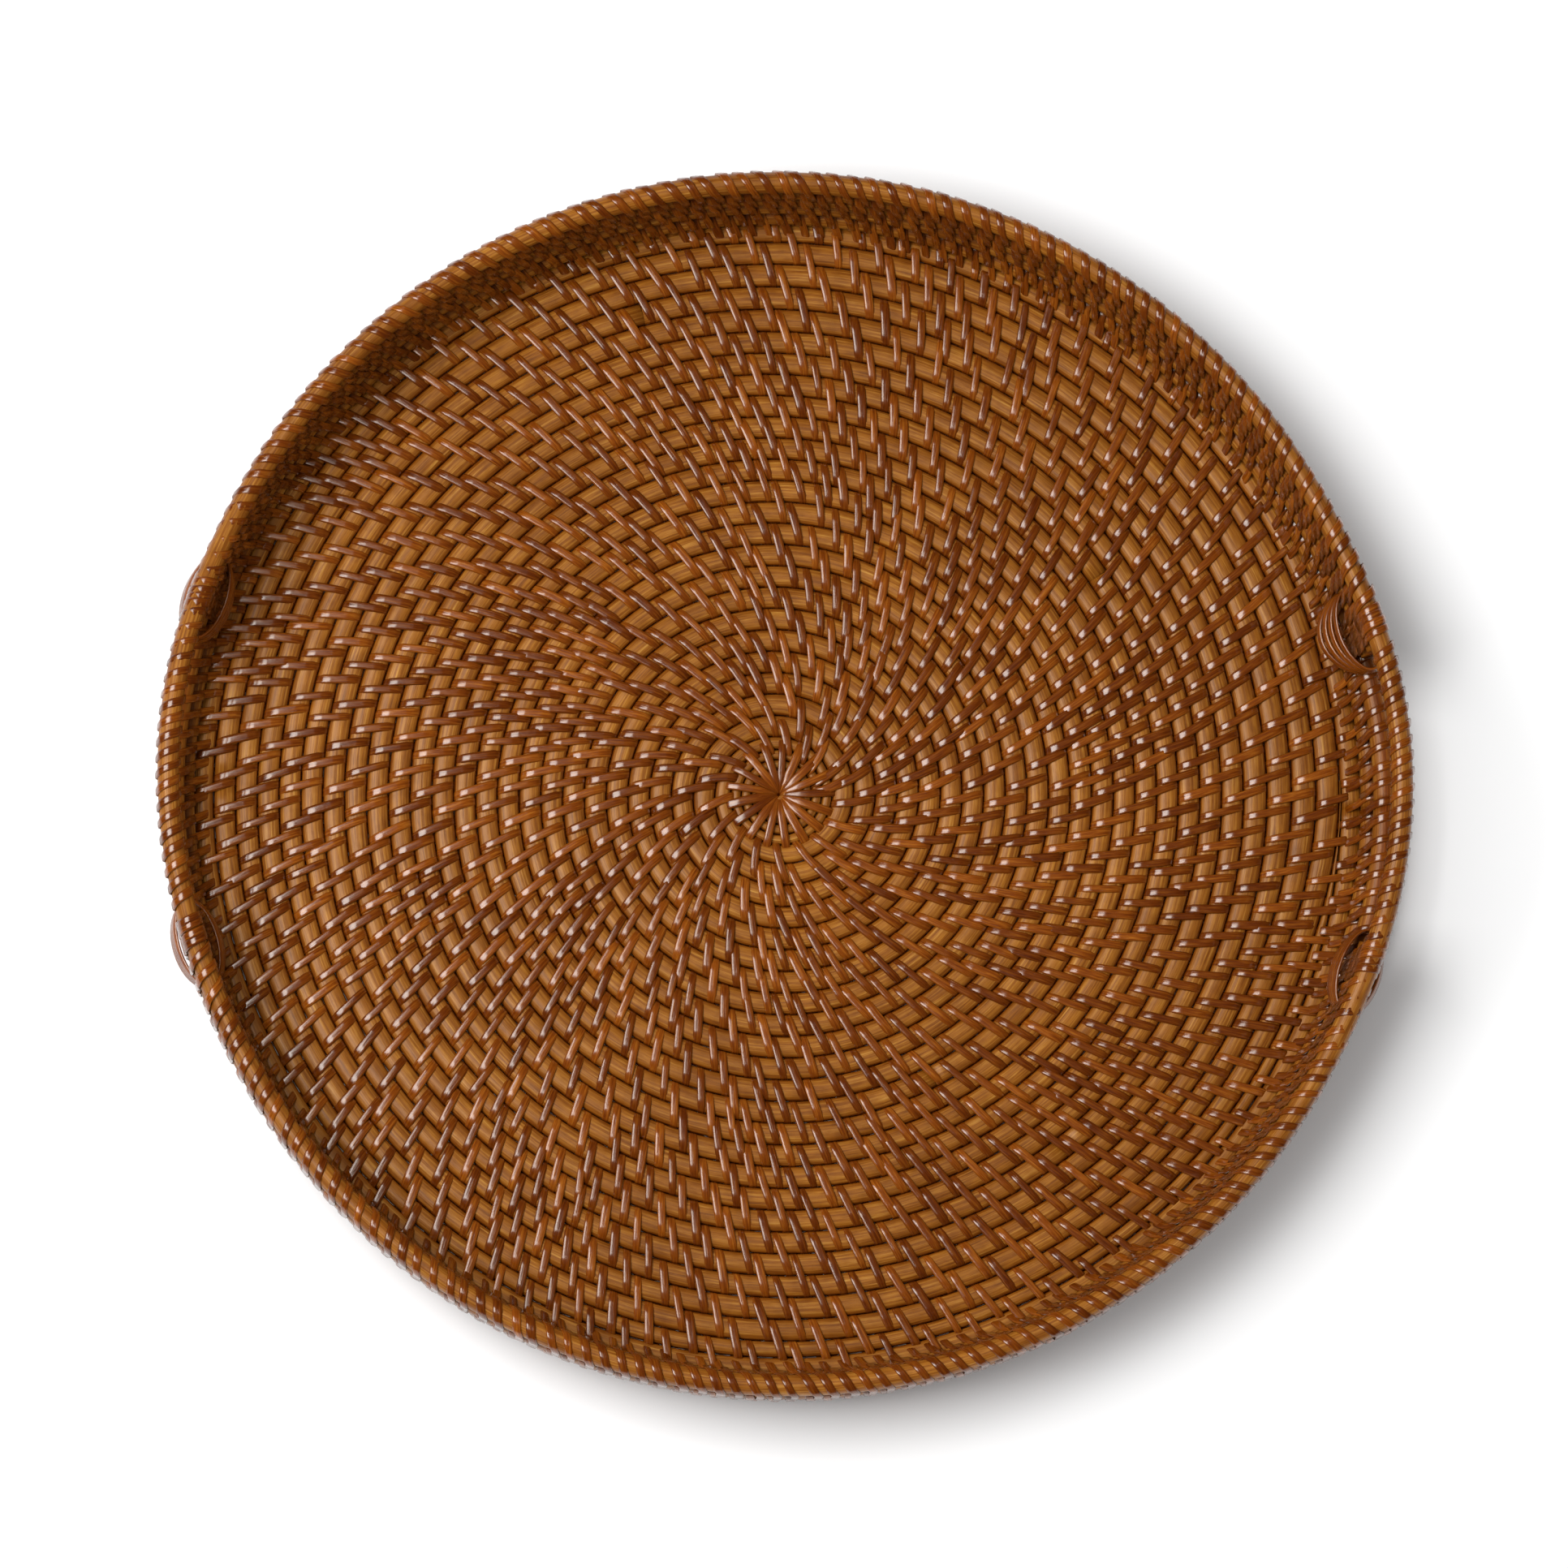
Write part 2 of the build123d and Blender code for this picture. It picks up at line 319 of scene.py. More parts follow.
# %% Core material
def core_material():
    """Pale inside of the cane: a ramp along the grain, times patches, small dabs and painted shade in the
    crevices.
    """
    material, shader, node, link = new_material("lacquered_core", 0.38, 0.12, 0.22, (1.0, 0.66, 0.36))
    grain = streaks(node, (0.04, 1.5), 6.0, 0.7)
    wood = ramp(node, grain, [
        (0.30, (0.122, 0.027, 0.0015)), (0.44, (0.245, 0.073, 0.005)),
        (0.56, (0.345, 0.126, 0.012)), (0.72, (0.540, 0.275, 0.055))])
    place = node("ShaderNodeTexCoord").outputs["Object"]
    patch = node("ShaderNodeTexNoise", {"Vector": place, "Scale": 14.0, "Detail": 3.0}).outputs["Fac"]
    patched = mixed(node, "MULTIPLY", 1.0, wood, ramp(node, patch, [
        (0.30, (0.72, 0.66, 0.55)), (0.70, (1.0, 1.0, 1.0))]))
    fine = node("ShaderNodeTexNoise", {"Vector": place, "Scale": 160.0, "Detail": 2.0}).outputs["Fac"]
    dabbed = mixed(node, "MULTIPLY", 1.0, patched, ramp(node, fine, [
        (0.35, (0.80, 0.74, 0.66)), (0.62, (1.0, 1.0, 1.0))]))
    # Painted shade: the colour is darkened where "open" is low, in the crevices between rows and on the rim's
    # underside, with some pooled lacquer there too.
    opened = node("ShaderNodeAttribute", attribute_name="open").outputs["Fac"]
    painted_crevice_shade = ramp(node, opened, [
        (0.10, (0.60, 0.34, 0.15)), (0.45, (0.88, 0.74, 0.55)), (0.80, (1.0, 1.0, 1.0))])
    link(mixed(node, "MULTIPLY", 1.0, dabbed, painted_crevice_shade), shader.inputs["Base Color"])
    relief = node("ShaderNodeBump", {"Height": grain, "Strength": 0.5, "Distance": 0.0004})
    link(relief.outputs[0], shader.inputs["Normal"])
    return material


# %% Strip material
def strip_material():
    """Skin of the cane: a ramp along fine streaks, times a tone for each stitch, times painted shade where it
    dives.
    """
    material, shader, node, link = new_material("lacquered_strip", 0.20, 0.60, 0.15, (1.0, 0.86, 0.72))
    grain = streaks(node, (0.12, 2.2), 4.0)
    skin = ramp(node, grain, [
        (0.30, (0.084, 0.014, 0.0005)), (0.50, (0.150, 0.031, 0.0012)), (0.72, (0.255, 0.074, 0.005))])
    tone = node("ShaderNodeAttribute", attribute_name="tone").outputs["Fac"]
    toned = mixed(node, "MULTIPLY", 1.0, skin, ramp(node, tone, [
        (0.0, (0.68, 0.60, 0.50)), (0.55, (1.0, 1.0, 1.0)), (1.0, (1.45, 1.60, 1.9))]))
    # Painted shade: the colour is darkened where "open" is low, where a stitch dives into a gap and under a
    # row.
    opened = node("ShaderNodeAttribute", attribute_name="open").outputs["Fac"]
    painted_crevice_shade = ramp(node, opened, [(0.0, (0.60, 0.42, 0.25)), (0.6, (1.0, 1.0, 1.0))])
    link(mixed(node, "MULTIPLY", 1.0, toned, painted_crevice_shade), shader.inputs["Base Color"])
    relief = node("ShaderNodeBump", {"Height": grain, "Strength": 0.35, "Distance": 0.0003})
    link(relief.outputs[0], shader.inputs["Normal"])
    return material


core_finish = core_material()
strip_finish = strip_material()
print("materials:", core_finish.name, strip_finish.name)


# %% [markdown]
# ## The floor's core
# One core makes the whole floor. It starts as a thin shaved coil in the middle, grows to full width over one
# turn, and then keeps its pitch until the last rows. It is spliced from six lengths after the coil, because
# no cane is long enough. Its section is a round with flattened sides, since its neighbours press on it.

# %% Spiral of the floor
floor_turns = 22.5
spiral_start = edge_radius - row_pitch * (floor_turns + 1)
thin_pitch = 3.4
thin_inner_radius = 1.3
segments_a_turn = 150
core_middle = 3.3
core_half_height = 2.6
centre_core_middle = 3.6
centre_core_half_height = 2.0
core_gap = 0.25
core_sides = 14
core_squareness = 0.7
# How fast the painted shade in the floor's crevices falls off towards the crests.
floor_crevice_shade_power = 1.5


def spiral_radius(angle):
    """Radius of the full-size spiral at an unwound angle: start + pitch * turns."""
    return spiral_start + row_pitch * angle / turn


def core_line(angle):
    """Middle radius and width of the floor's core at an unwound angle, thin, growing, then full."""
    grown = np.clip(angle / turn + 1, 0, 1)
    thin_start = spiral_start - row_pitch / 2 - thin_pitch / 2
    thin = thin_start + thin_pitch * (angle / turn + 1)
    growing = thin_start + (spiral_start - thin_start) * grown
    radius = np.where(angle < -turn, thin, np.where(angle < 0, growing, spiral_radius(angle)))
    return radius, thin_pitch + (row_pitch - thin_pitch) * grown


def squared_round(count, square):
    """Outline of a rounded square: (cos t, sin t), each raised to a power below 1, keeping its sign."""
    t = turn * (np.arange(count) + 0.5) / count
    shape = np.stack([np.cos(t), np.sin(t)], -1)
    return np.sign(shape) * np.abs(shape) ** square


core_outline = squared_round(core_sides, core_squareness)
floor_rim = edge_radius - row_pitch / 2
floor_rim_slack = 0.01
spread_from = 150.0
spread_width = 4.0
spread_ease = 0.4


def smooth(share):
    """Smooth step from 0 to 1: 3s^2 - 2s^3."""
    share = np.clip(share, 0, 1)
    return share**2 * (3 - 2 * share)


def tail_gap(angle):
    """Width that the tail has to fill at an angle: one pitch at its start and nothing a turn later."""
    return row_pitch * (1 - ((np.asarray(angle) / turn - floor_turns) % 1.0))


def spread(angle):
    """Share of the tail's gap that the last rows take up: 0, then 1 where the gap is under spread_width."""
    start = 1 - spread_width / row_pitch
    return smooth((((np.asarray(angle) / turn - floor_turns) % 1.0) - start) * turn / spread_ease)


def settled(radius, angle):
    """Radius after the outer rows have moved over: radius + gap * share * smooth step of the radius."""
    reach = smooth((radius - spread_from) / (floor_rim - spread_from))
    in_floor = radius < floor_rim + floor_rim_slack
    return radius + tail_gap(angle) * spread(angle) * np.where(in_floor, reach, 0)


def floor_run(angle, radius, width, half_height, middle=core_middle, moves=True):
    """Run of floor core: the outline stretched to the core's width and height.

    open is the size of the outline's height to a power: near 1 on top and underneath, and low at the sides,
    where the gaps are; the material paints shade there. With moves, the run settles like the outer rows do.
    """
    if moves:
        inner_edge = settled(radius - width / 2, angle)
        outer_edge = settled(radius + width / 2, angle)
        radius, width = (inner_edge + outer_edge) / 2, outer_edge - inner_edge
    path = round_point(radius, angle, np.full_like(radius, middle))
    up = np.broadcast_to([0.0, 0.0, 1.0], path.shape)
    swapped = core_outline[:, ::-1]
    rings = carried(path, up, swapped, width=half_height, depth=width / 2)
    return rings, {"open": np.abs(swapped[None, :, 0]) ** floor_crevice_shade_power, "tone": 0.5}


def length_between(first, last):
    """Evenly spaced unwound angles between two angles."""
    count = max(8, int((last - first) / turn * segments_a_turn))
    return np.linspace(first, last, count)


thin_turns = (spiral_start - row_pitch / 2 - thin_pitch / 2 - thin_inner_radius) / thin_pitch
coil_angle = length_between(-turn * (1 + thin_turns), -turn)
coil_radius, coil_width = core_line(coil_angle)
coil = floor_run(coil_angle, coil_radius, coil_width - core_gap, centre_core_half_height, centre_core_middle)
piece("centre_core", [coil], core_finish, ["centre_coil"])

# The lengths are as long as one another, so the squares of the radii at their ends are evenly spaced.
core_lengths = 6
splice_angle = 0.0012
first_turn_radius, last_turn_radius = spiral_radius(-turn), spiral_radius(turn * floor_turns)
ends = np.sqrt(np.linspace(first_turn_radius**2, last_turn_radius**2, core_lengths + 1))
end_angles = (ends - spiral_start) / row_pitch * turn
for number in range(core_lengths):
    angle = length_between(end_angles[number], end_angles[number + 1] - splice_angle)
    radius, width = core_line(angle)
    piece(f"floor_row_{number + 1}", [floor_run(angle, radius, width - core_gap, core_half_height)],
          core_finish, [f"floor_core_{number + 1}"])

# %% [markdown]
# The last length is shaved down so that the spiral ends as a true round. Where its gap gets narrow, the outer
# rows move outwards into it, and the tail is gone after about half a turn. The edge row outside it is a
# closed ring: the wall stands on it.

# %% Tail and edge row
thinnest_tail = 0.3
tail_end = turn * (floor_turns + 1 - spread_width / row_pitch) + spread_ease
tail_angle = length_between(turn * floor_turns, tail_end)
inner_side = settled(spiral_radius(tail_angle - turn) + row_pitch / 2, tail_angle)
tail_width = np.maximum(floor_rim - inner_side - core_gap, thinnest_tail)
tail = floor_run(tail_angle, (inner_side + floor_rim) / 2, tail_width, core_half_height, moves=False)
piece("tail_row", [tail], core_finish, ["floor_tail"])

lapped_turn = turn * 1.0005
edge_points = 320
edge_angle = np.linspace(0, lapped_turn, edge_points)
edge_width = np.full_like(edge_angle, row_pitch - core_gap)
edge_radii = np.full_like(edge_angle, edge_radius)
piece("edge_row", [floor_run(edge_angle, edge_radii, edge_width, core_half_height, moves=False)],
      core_finish, ["floor_edge_core"])


# %% [markdown]
# ## The floor's stitches
# Each stitch comes up in one gap, lies over two rows, and goes down two gaps further out. A stitch of the
# next row starts a third of the way from an older stitch to its neighbour, and that makes the long swirling
# arms. Where two arms have spread too far apart, the maker puts in an extra stitch, and a new arm begins.

# %% Where the stitches stand
spoke_count = 17
stitch_share = 0.33
stitch_lean = 4.1
centre_spacing = 7.0
spacing_growth = 6.2
spacing_power = 0.8
room_range = (1.10, 1.45)
evening_share = 0.3
counted_radii = (60, 107, 167, 186)


def wanted_spacing(radius):
    """Usual distance between stitches in millimetres: 7.0 + 6.2 * (radius / edge radius) ^ 0.8."""
    return centre_spacing + spacing_growth * (radius / edge_radius) ** spacing_power


def stitch_angles():
    """Unwound angles of all stitches, each placed from an older stitch one row further in.

    A stitch starts a share of the gap after the older one, plus half of a stitch's lean. If the gap is wider
    than there is room for, a second one starts half a gap later. The stitch before the newest is then
    moved a share of the way to the middle of its neighbours.
    """
    marks = [turn * (number / spoke_count - 2) for number in range(spoke_count + 1)]
    last = turn * (floor_turns + 1)
    index = 0
    while marks[-1] < last:
        here, gap = marks[index], marks[index + 1] - marks[index]
        radius = spiral_radius(here + turn)
        start = here + turn + stitch_lean / 2 / radius + stitch_share * gap
        room = wanted_spacing(radius) * rng.uniform(*room_range)
        starts = [start, start + 0.5 * gap] if gap * radius > room else [start]
        for mark in starts:
            marks.append(mark)
            if len(marks) > spoke_count + 3:
                marks[-2] += evening_share * ((marks[-3] + marks[-1]) / 2 - marks[-2])
        index += 1
    return np.array(marks)


stitch_angle = stitch_angles()
for near in counted_radii:
    turns_there = (near - spiral_start) / row_pitch
    count = np.sum(np.abs(stitch_angle / turn - turns_there) < 0.5)
    print(f"stitches in the turn at {near} mm: {count}")

# %% [markdown]
# Under the floor the strip runs back to its next stitch, so the whole sewing is one endless flat helix.
# Thirteen points carry each turn of it: nine over the top and four under it.

# %% Path of the stitches
strip_half_width = 1.42
strip_thickness = 0.75
strip_shape = np.array([
    (-0.92, -0.5), (-1.0, 0.0), (-0.84, 0.40), (-0.45, 0.5),
    (0.45, 0.5), (0.84, 0.40), (1.0, 0.0), (0.92, -0.5)])
strip_outline = strip_shape * (strip_half_width, strip_thickness)
spoke_inner_radius = 0.35
spoke_outer_radius = 19.5
spoke_lean = 0.06
lean_wander = 0.12
lean_least_radius = 14
place_wander = 0.35
place_least_radius = 8
lift_range = (-0.08, 0.12)
stitch_width_range = (0.86, 1.12)
full_width_radius = 6.6
narrowest_share = 0.16

over_reach = np.array([0.0, 0.05, 0.16, 0.33, 0.5, 0.67, 0.84, 0.95, 1.0])
over_height = np.array([3.0, 4.9, 6.0, 6.28, 6.1, 6.28, 6.0, 4.9, 3.0])
under_reach = np.array([0.94, 0.76, 0.24, 0.06])
under_height = np.array([1.1, 0.42, 0.42, 1.1])
spoke_height = np.array([3.6, 5.0, 5.9, 6.5, 6.6, 6.5, 6.3, 5.0, 3.0])
# How open each point of a stitch is: low where it dives into a gap, where the strip material paints shade.
stitch_open = np.concatenate([[0.1, 0.55, 0.95, 1, 1, 1, 0.95, 0.55, 0.1], [0.2, 0.8, 0.8, 0.2]])


def stitch_run(first, last):
    """The helix between two stitch numbers: reach goes out over the top and back underneath.

    radius = inner + reach * (outer - inner); the angle leans with the reach over the top, and runs on
    to the next stitch's angle underneath. The first stitches are spokes, which start next to the middle and
    narrow towards it. Each stitch has its own lean, place, lift, width and tone, drawn in that order.
    """
    here, after = stitch_angle[first:last, None], stitch_angle[first + 1:last + 1, None]
    spoke = (np.arange(first, last) < spoke_count)[:, None]
    middle = spiral_radius(here)
    inner = np.where(spoke, spoke_inner_radius, middle - row_pitch / 2)
    two_rows_out = np.minimum(middle + 1.5 * row_pitch, edge_radius + row_pitch / 2)
    outer = np.where(spoke, spoke_outer_radius, two_rows_out)
    inner, outer = settled(inner, here), settled(outer, here)
    count = len(here)
    lean_radius = np.maximum((inner + outer) / 2, lean_least_radius)
    lean = stitch_lean * (1 + rng.normal(0, lean_wander, (count, 1))) / lean_radius
    lean = np.where(spoke, spoke_lean, lean * (outer - inner) / (2 * row_pitch))
    moved = np.where(spoke, 0, rng.normal(0, place_wander, (count, 1)))
    here = here + moved / np.maximum(inner, place_least_radius)
    over = here + lean * over_reach
    under = (here + lean) * under_reach + after * (1 - under_reach)
    reach = np.broadcast_to(np.concatenate([over_reach, under_reach]), (count, len(stitch_open)))
    top = np.where(spoke, spoke_height, over_height) + rng.uniform(*lift_range, (count, 1))
    height = np.concatenate([top, np.broadcast_to(under_height, under.shape)], 1)
    radius = inner + reach * (outer - inner)
    angle = np.concatenate([over, under], 1)
    narrowed = np.clip(radius / full_width_radius, narrowest_share, 1)
    width = rng.uniform(*stitch_width_range, (count, 1)) * narrowed
    path = round_point(radius.ravel(), angle.ravel(), height.ravel())
    along_core = round_point(1.0, angle.ravel() + math.pi / 2, 0.0)
    rings = carried(path, along_core, strip_outline, width=width.ravel())
    tone = np.repeat(rng.uniform(0, 1, count), reach.shape[1])[:, None]
    opened = np.tile(stitch_open, count)[:, None]
    return rings, {"open": opened, "tone": tone}


last_stitch = int(np.sum(stitch_angle < turn * (floor_turns + 1))) - 1
piece("centre_spokes", [stitch_run(0, spoke_count)], strip_finish,
      ["centre_knot", "centre_binding"])
strip_lengths = 6
breaks = np.linspace(spoke_count, last_stitch, strip_lengths + 1).astype(int)
for number in range(strip_lengths):
    piece(f"floor_strip_{number + 1}", [stitch_run(breaks[number], breaks[number + 1])],
          strip_finish)
print("floor stitches:", last_stitch)


# %% [markdown]
# ## The wall's rows
# Four rounds of core stand on the edge row, and a thicker one makes the rim. The two upper wall rows stop at
# the hand slots, and the rim lifts and swings out over them, so that fingers find room under it. The lower
# two are full rounds, made of a front half and a back half that nearly touch.

# %% Wall and rim cores
wall_step = math.radians(1.0)
half_joint_angle = 0.0006
rim_joint_place = 0.3
# Painted shade: how far up it reaches on the rim's underside, and how fast it falls off in the wall's
# crevices.
rim_underside_shade_depth = 1.5
wall_crevice_shade_power = 1.2


def wall_run(one_row, first, last, rim=False):
    """Round core along a row between two angles.

    open is |cos t| to a power, so it is low above and below, where the next rows are, and shade is painted
    there. On the rim it is 1 + depth * sin t kept within 0 and 1, so only the underside gets painted shade.
    """
    angle = np.linspace(first, last, int((last - first) / wall_step) + 1)
    radius, height = row_at(one_row, angle)
    path = round_point(radius, angle, height)
    up = np.broadcast_to([0.0, 0.0, 1.0], path.shape)
    t = turn * (np.arange(core_sides) + 0.5) / core_sides
    outline = np.stack([np.sin(t), np.cos(t)], -1)
    rings = carried(path, up, outline * one_row["core"])
    if rim:
        opened = np.clip(1.0 + np.sin(t) * rim_underside_shade_depth, 0, 1)
    else:
        opened = np.abs(np.cos(t)) ** wall_crevice_shade_power
    return rings, {"open": opened[None, :], "tone": 0.5}


half = math.pi
slot = slot_half_angle
for number, one_row in enumerate(wall_rows, start=1):
    cut = slot if one_row["lift"] else half_joint_angle
    for side, middle in (("front", -half / 2), ("back", half / 2)):
        piece(f"wall_row_{number}_{side}",
              [wall_run(one_row, middle - half / 2 + cut, middle + half / 2 - cut)],
              core_finish, [f"wall_core_{number}_{side}"])
piece("rim_row", [wall_run(rim_row, rim_joint_place, rim_joint_place + lapped_turn, rim=True)],
      core_finish, ["rim_core"])


# %% [markdown]
# ## The wall's lashings
# A strip winds round two rows at a time, up inside the wall, over the upper row, and down outside.
# In a slice across the wall each winding is a long loop round two circles. Five such strips hold the wall.

# %% Winding round two rows
lashings_a_turn = 204
lashing_step = turn / lashings_a_turn
mark_wander = 0.06 * lashing_step
lashing_wander = 0.0012
lashing_lift_range = (-0.05, 0.15)
lashing_squeeze = 0.35
lashing_width_range = (0.85, 1.12)
ground_clearance = 0.15
wrap_half_width = 1.42
wrap_thickness = 0.65
wrap_outline = strip_outline / (strip_half_width, strip_thickness) * (wrap_half_width, wrap_thickness)
diagonal = math.sqrt(0.5)
lashing_points = 12
lashing_upper = np.array([0, 0.5, 1, 1, 1, 1, 1, 0.5, 0, 0, 0, 0])
lashing_inwards = np.array([1, 1, 1, diagonal, 0, -diagonal, -1, -1, -1, -diagonal, 0, diagonal])
lashing_upwards = np.array([0, 0, 0, diagonal, 1, diagonal, 0, 0, 0, -diagonal, -1, -diagonal])
# How open each point of a lashing is: low under the lower row and where it goes into the wall, where the
# strip material paints shade.
lashing_open = np.array([0.5, 0.85, 1, 1, 0.8, 1, 1, 0.9, 0.8, 0.5, 0.4, 0.4])


def lashing_run(lower, upper, marks, inner_share, over_share):
    """Helix round two rows, one loop from each mark angle to the next.

    A loop has twelve points: up the inner side, a half circle over the upper row, down the outer side and
    a half circle under the lower row. It is squeezed in halfway between the rows, and its path stays clear of
    the ground. Shares say how far the loop has moved on, as a part of one spacing.
    """
    here, spacing = marks[:-1, None], np.diff(marks)[:, None]
    count = len(here)
    low_r, low_z = row_at(lower, here)
    high_r, high_z = row_at(upper, here)
    reach = np.hypot(high_r - low_r, high_z - low_z)
    up_r, up_z = (high_r - low_r) / reach, (high_z - low_z) / reach
    low_off, high_off = lower["core"] + wrap_thickness / 2, upper["core"] + wrap_thickness / 2
    off = np.where(lashing_upper == 1, high_off, low_off) + rng.uniform(*lashing_lift_range, (count, 1))
    off = off - lashing_squeeze * (lashing_upper == 0.5)
    r = low_r + (high_r - low_r) * lashing_upper + off * (-up_z * lashing_inwards + up_r * lashing_upwards)
    z = low_z + (high_z - low_z) * lashing_upper + off * (up_r * lashing_inwards + up_z * lashing_upwards)
    z = np.maximum(z, wrap_thickness / 2 + ground_clearance)
    shares = [0, inner_share, over_share, over_share, 1.0]
    moved = np.interp(np.arange(lashing_points), [0, 2, 6, 8, 12], shares)
    angle = here + moved * spacing + rng.normal(0, lashing_wander, (count, 1))
    path = round_point(r.ravel(), angle.ravel(), z.ravel())
    along_core = round_point(1.0, angle.ravel() + math.pi / 2, 0.0)
    width = np.repeat(rng.uniform(*lashing_width_range, count), lashing_points)
    rings = carried(path, along_core, wrap_outline, width=width)
    opened = np.tile(lashing_open, count)[:, None]
    tone = np.repeat(rng.uniform(0, 1, count), lashing_points)[:, None]
    return rings, {"open": opened, "tone": tone}


# %% [markdown]
# Below, a strip goes all the way round. Above, it stops at the hand slots, and its last turns stand close
# together there, where it is made fast.

# %% Where the lashings stand
crowd_count = 5
crowd_spacing = 2.5
slot_margin = 0.012


def full_marks(phase):
    """Mark angles of one full round, evenly spaced with a small wander."""
    marks = phase + lashing_step * np.arange(lashings_a_turn + 1)
    return marks + rng.normal(0, mark_wander, len(marks))


def slot_to_slot_marks(middle):
    """Mark angles between two hand slots, crowded together at both ends where the strip is made fast."""
    first, last = middle - half / 2 + slot, middle + half / 2 - slot
    tight = crowd_spacing / rim_radius * np.arange(crowd_count)
    inner_first, inner_last = first + slot_margin + tight[-1], last - slot_margin - tight[-1]
    count = int((inner_last - inner_first) / lashing_step)
    between = np.linspace(inner_first, inner_last, count + 1)
    between[1:-1] += rng.normal(0, mark_wander, count - 1)
    return np.concatenate([first + slot_margin + tight[:-1], between, inner_last + tight[1:]])


print("lashings in a full round:", lashings_a_turn)

# %% Five lashings
piece("wall_strip_1", [lashing_run(edge_row, wall_rows[0], full_marks(0.0), 0.45, 1.0)],
      strip_finish)
piece("wall_strip_2", [lashing_run(wall_rows[0], wall_rows[1], full_marks(0.5 * lashing_step), 0.4, 1.0)],
      strip_finish)
for number, (lower, upper, inner, over) in enumerate((
        (wall_rows[1], wall_rows[2], 0.4, 1.0),
        (wall_rows[2], wall_rows[3], 0.4, 1.0),
        (wall_rows[3], rim_row, 0.25, 1.2)), start=3):
    runs = [lashing_run(lower, upper, slot_to_slot_marks(middle), inner, over)
            for middle in (-half / 2, half / 2)]
    piece(f"wall_strip_{number}", runs, strip_finish)


# %% [markdown]
# Over each hand slot there is no wall row to sew to, so the strip goes round the rim alone.

# %% Rim wraps over the slots
rim_wrap_step = math.radians(1.5)
rim_wrap_lean = 0.9
rim_wrap_points = 8
rim_wrap_width_range = (0.85, 1.1)
rim_wrap_overrun = 0.01


def wrap_run(one_row, marks):
    """Helix round one row, eight points a turn: inner side first, then over the top and down outside.

    The strip moves on by most of a spacing over the top, and by the rest of it underneath.
    """
    here, spacing = marks[:-1, None], np.diff(marks)[:, None]
    count = len(here)
    t = turn * np.arange(rim_wrap_points) / rim_wrap_points
    radius, height = row_at(one_row, here)
    off = one_row["core"] + wrap_thickness / 2
    moved = np.interp(np.arange(rim_wrap_points), [0, 4, 8], [0, rim_wrap_lean, 1.0])
    angle = here + moved * spacing
    path = round_point((radius - off * np.cos(t)).ravel(), angle.ravel(), (height + off * np.sin(t)).ravel())
    along_core = round_point(1.0, angle.ravel() + math.pi / 2, 0.0)
    width = np.repeat(rng.uniform(*rim_wrap_width_range, count), rim_wrap_points)
    rings = carried(path, along_core, wrap_outline, width=width)
    return rings, {"open": 0.95, "tone": np.repeat(rng.uniform(0, 1, count), rim_wrap_points)[:, None]}


rim_marks = np.arange(-slot - rim_wrap_overrun, slot + 2 * rim_wrap_overrun, rim_wrap_step)
wraps = [wrap_run(rim_row, middle + rim_marks) for middle in (0.0, half)]
piece("rim_wraps", wraps, strip_finish)


# %% [markdown]
# ## Binding loops
# At both ends of each slot a narrow, thick strip goes four times round the ends of the cut rows. Each loop is
# a helix on an ellipse. It goes lower at each turn and further from the wall, most of all in one corner.

# %% Four loops
loop_half_length = 14.4
loop_half_depth = 6.6
loop_turns = 4
loop_points_a_turn = 40
loop_top_gap = 1.2
loop_step_down = 2.3
loop_tip = 0.8
loop_tone = 0.6
loop_tone_change = 0.2
loop_steps = {("back", "right"): (1.7, 0.2), ("front", "right"): (0.4, 0.3),
              ("back", "left"): (0.3, 0.3), ("front", "left"): (0.3, 0.3)}
loop_sides = 8
loop_half_width = 1.05
loop_half_thickness = 0.5
loop_outline = squared_round(loop_sides, core_squareness) * (loop_half_width, loop_half_thickness)


def loop_run(node, step_in, step_out):
    """Helix on an ellipse round the solid loop's own middle: (a cos t, b sin t), lower at each turn.

    Each turn also stands further out than the one above it, by step_in inside the basket and step_out
    outside, and its flat side tips up on both sides.
    """
    low, high = corners(node)
    centre = (low + high) / 2
    bearing = math.atan2(centre[1], centre[0])
    t = np.linspace(0, turn * loop_turns, loop_points_a_turn * loop_turns)
    turns_done = t / turn
    inside = (1 - np.sin(t)) / 2
    depth = loop_half_depth + turns_done * (step_out + (step_in - step_out) * inside)
    out = np.array([math.cos(bearing), math.sin(bearing), 0.0])
    side = np.array([-math.sin(bearing), math.cos(bearing), 0.0])
    middle = out * math.hypot(centre[0], centre[1])
    path = middle + out * (depth * np.sin(t))[:, None] + side * (loop_half_length * np.cos(t))[:, None]
    path[:, 2] = high[2] - loop_top_gap - loop_step_down * turns_done
    tipped = np.array([0.0, 0.0, 1.0]) + out * (loop_tip * (2 * inside - 1))[:, None]
    rings = carried(path, tipped, loop_outline)
    return rings, {"open": 1.0, "tone": loop_tone + loop_tone_change * np.sin(5 * turns_done)[:, None]}


for end in ("front", "back"):
    for side in ("left", "right"):
        node = f"binding_loop_{end}_{side}"
        piece(f"{end}_{side}_loop", [loop_run(node, *loop_steps[end, side])],
              strip_finish, [node])


# %% [markdown]
# ## Studio
# The basket lies on a plain white floor. One large soft lamp stands high on the left, and an even white
# surround fills the shadows without showing in the gloss. The camera looks almost straight down, a little
# from the front.

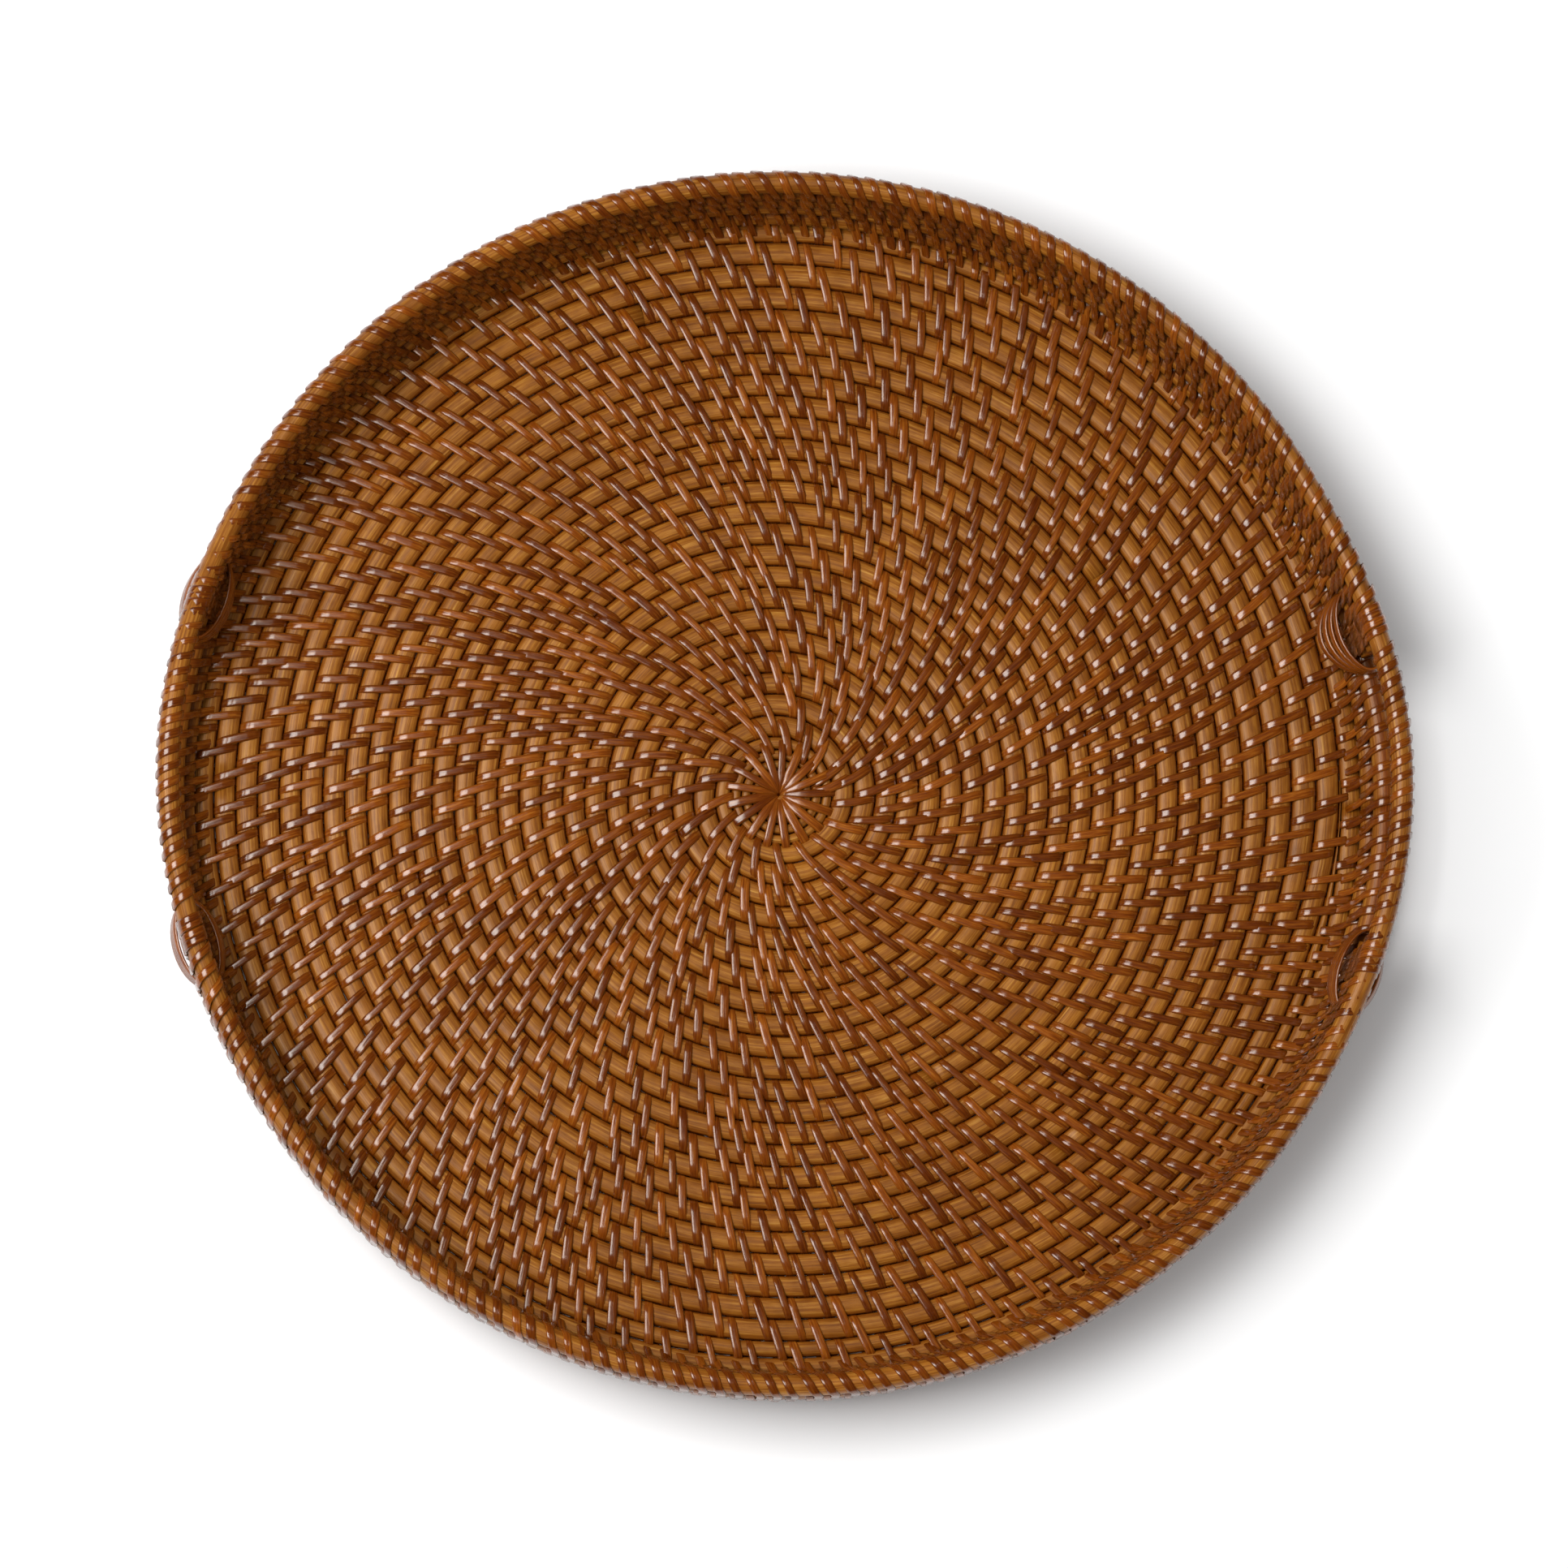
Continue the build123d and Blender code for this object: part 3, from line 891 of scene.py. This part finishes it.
# %% Floor, lamp and surround
bpy.ops.mesh.primitive_plane_add(size=8.0)
ground = bpy.context.object
ground.name = "studio_floor"
paper = bpy.data.materials.new("white_paper")
paper.use_nodes = True
paper.node_tree.nodes["Principled BSDF"].inputs["Base Color"].default_value = (0.9, 0.9, 0.9, 1)
paper.node_tree.nodes["Principled BSDF"].inputs["Roughness"].default_value = 0.9
paper.node_tree.nodes["Principled BSDF"].inputs["Specular IOR Level"].default_value = 0.0
ground.data.materials.append(paper)
ground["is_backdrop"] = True

world = bpy.data.worlds.new("surround")
bpy.context.scene.world = world
world.use_nodes = True
world.node_tree.nodes["Background"].inputs["Color"].default_value = (1.0, 1.0, 1.0, 1)
world.node_tree.nodes["Background"].inputs["Strength"].default_value = 0.50
world.cycles_visibility.glossy = False

lamp_bearing = math.radians(174)
lamp_height_angle = math.radians(62.5)
lamp_distance = 1.8
lamp = bpy.data.lights.new("soft_lamp", "AREA")
lamp.shape = "SQUARE"
lamp.size = 1.1
lamp.energy = 36.0
lamp_object = bpy.data.objects.new("soft_lamp", lamp)
bpy.context.scene.collection.objects.link(lamp_object)
to_lamp = Vector((math.cos(lamp_bearing) * math.cos(lamp_height_angle),
                  math.sin(lamp_bearing) * math.cos(lamp_height_angle), math.sin(lamp_height_angle)))
lamp_object.location = to_lamp * lamp_distance
lamp_object.rotation_mode = "QUATERNION"
lamp_object.rotation_quaternion = to_lamp.to_track_quat("Z", "Y")

# %% Camera
camera_distance = 3.0
frame_width = 0.5130
camera_tilt = math.radians(9.5)
camera_bearing = math.radians(249.5)
camera_roll = math.radians(1.5)
target = Vector((-0.0005, -0.0020, rim_height * MM))
camera = bpy.data.cameras.new("camera")
camera.sensor_width = 36.0
camera.lens = camera.sensor_width * camera_distance / frame_width
camera.clip_end = 20.0
camera_object = bpy.data.objects.new("camera", camera)
bpy.context.scene.collection.objects.link(camera_object)
back = Vector((math.sin(camera_tilt) * math.cos(camera_bearing),
               math.sin(camera_tilt) * math.sin(camera_bearing), math.cos(camera_tilt)))
right = (Vector((1, 0, 0)) - back * back.x).normalized()
right = Matrix.Rotation(camera_roll, 3, back) @ right
up = back.cross(right)
camera_object.matrix_world = Matrix.Translation(target + back * camera_distance) @ Matrix((
    right, up, back)).transposed().to_4x4()
bpy.context.scene.camera = camera_object
bpy.context.scene.view_settings.view_transform = "Standard"

# %% Sizes and the end
print("pieces:", len(made), "triangles in all:", sum(made.values()))
low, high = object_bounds()
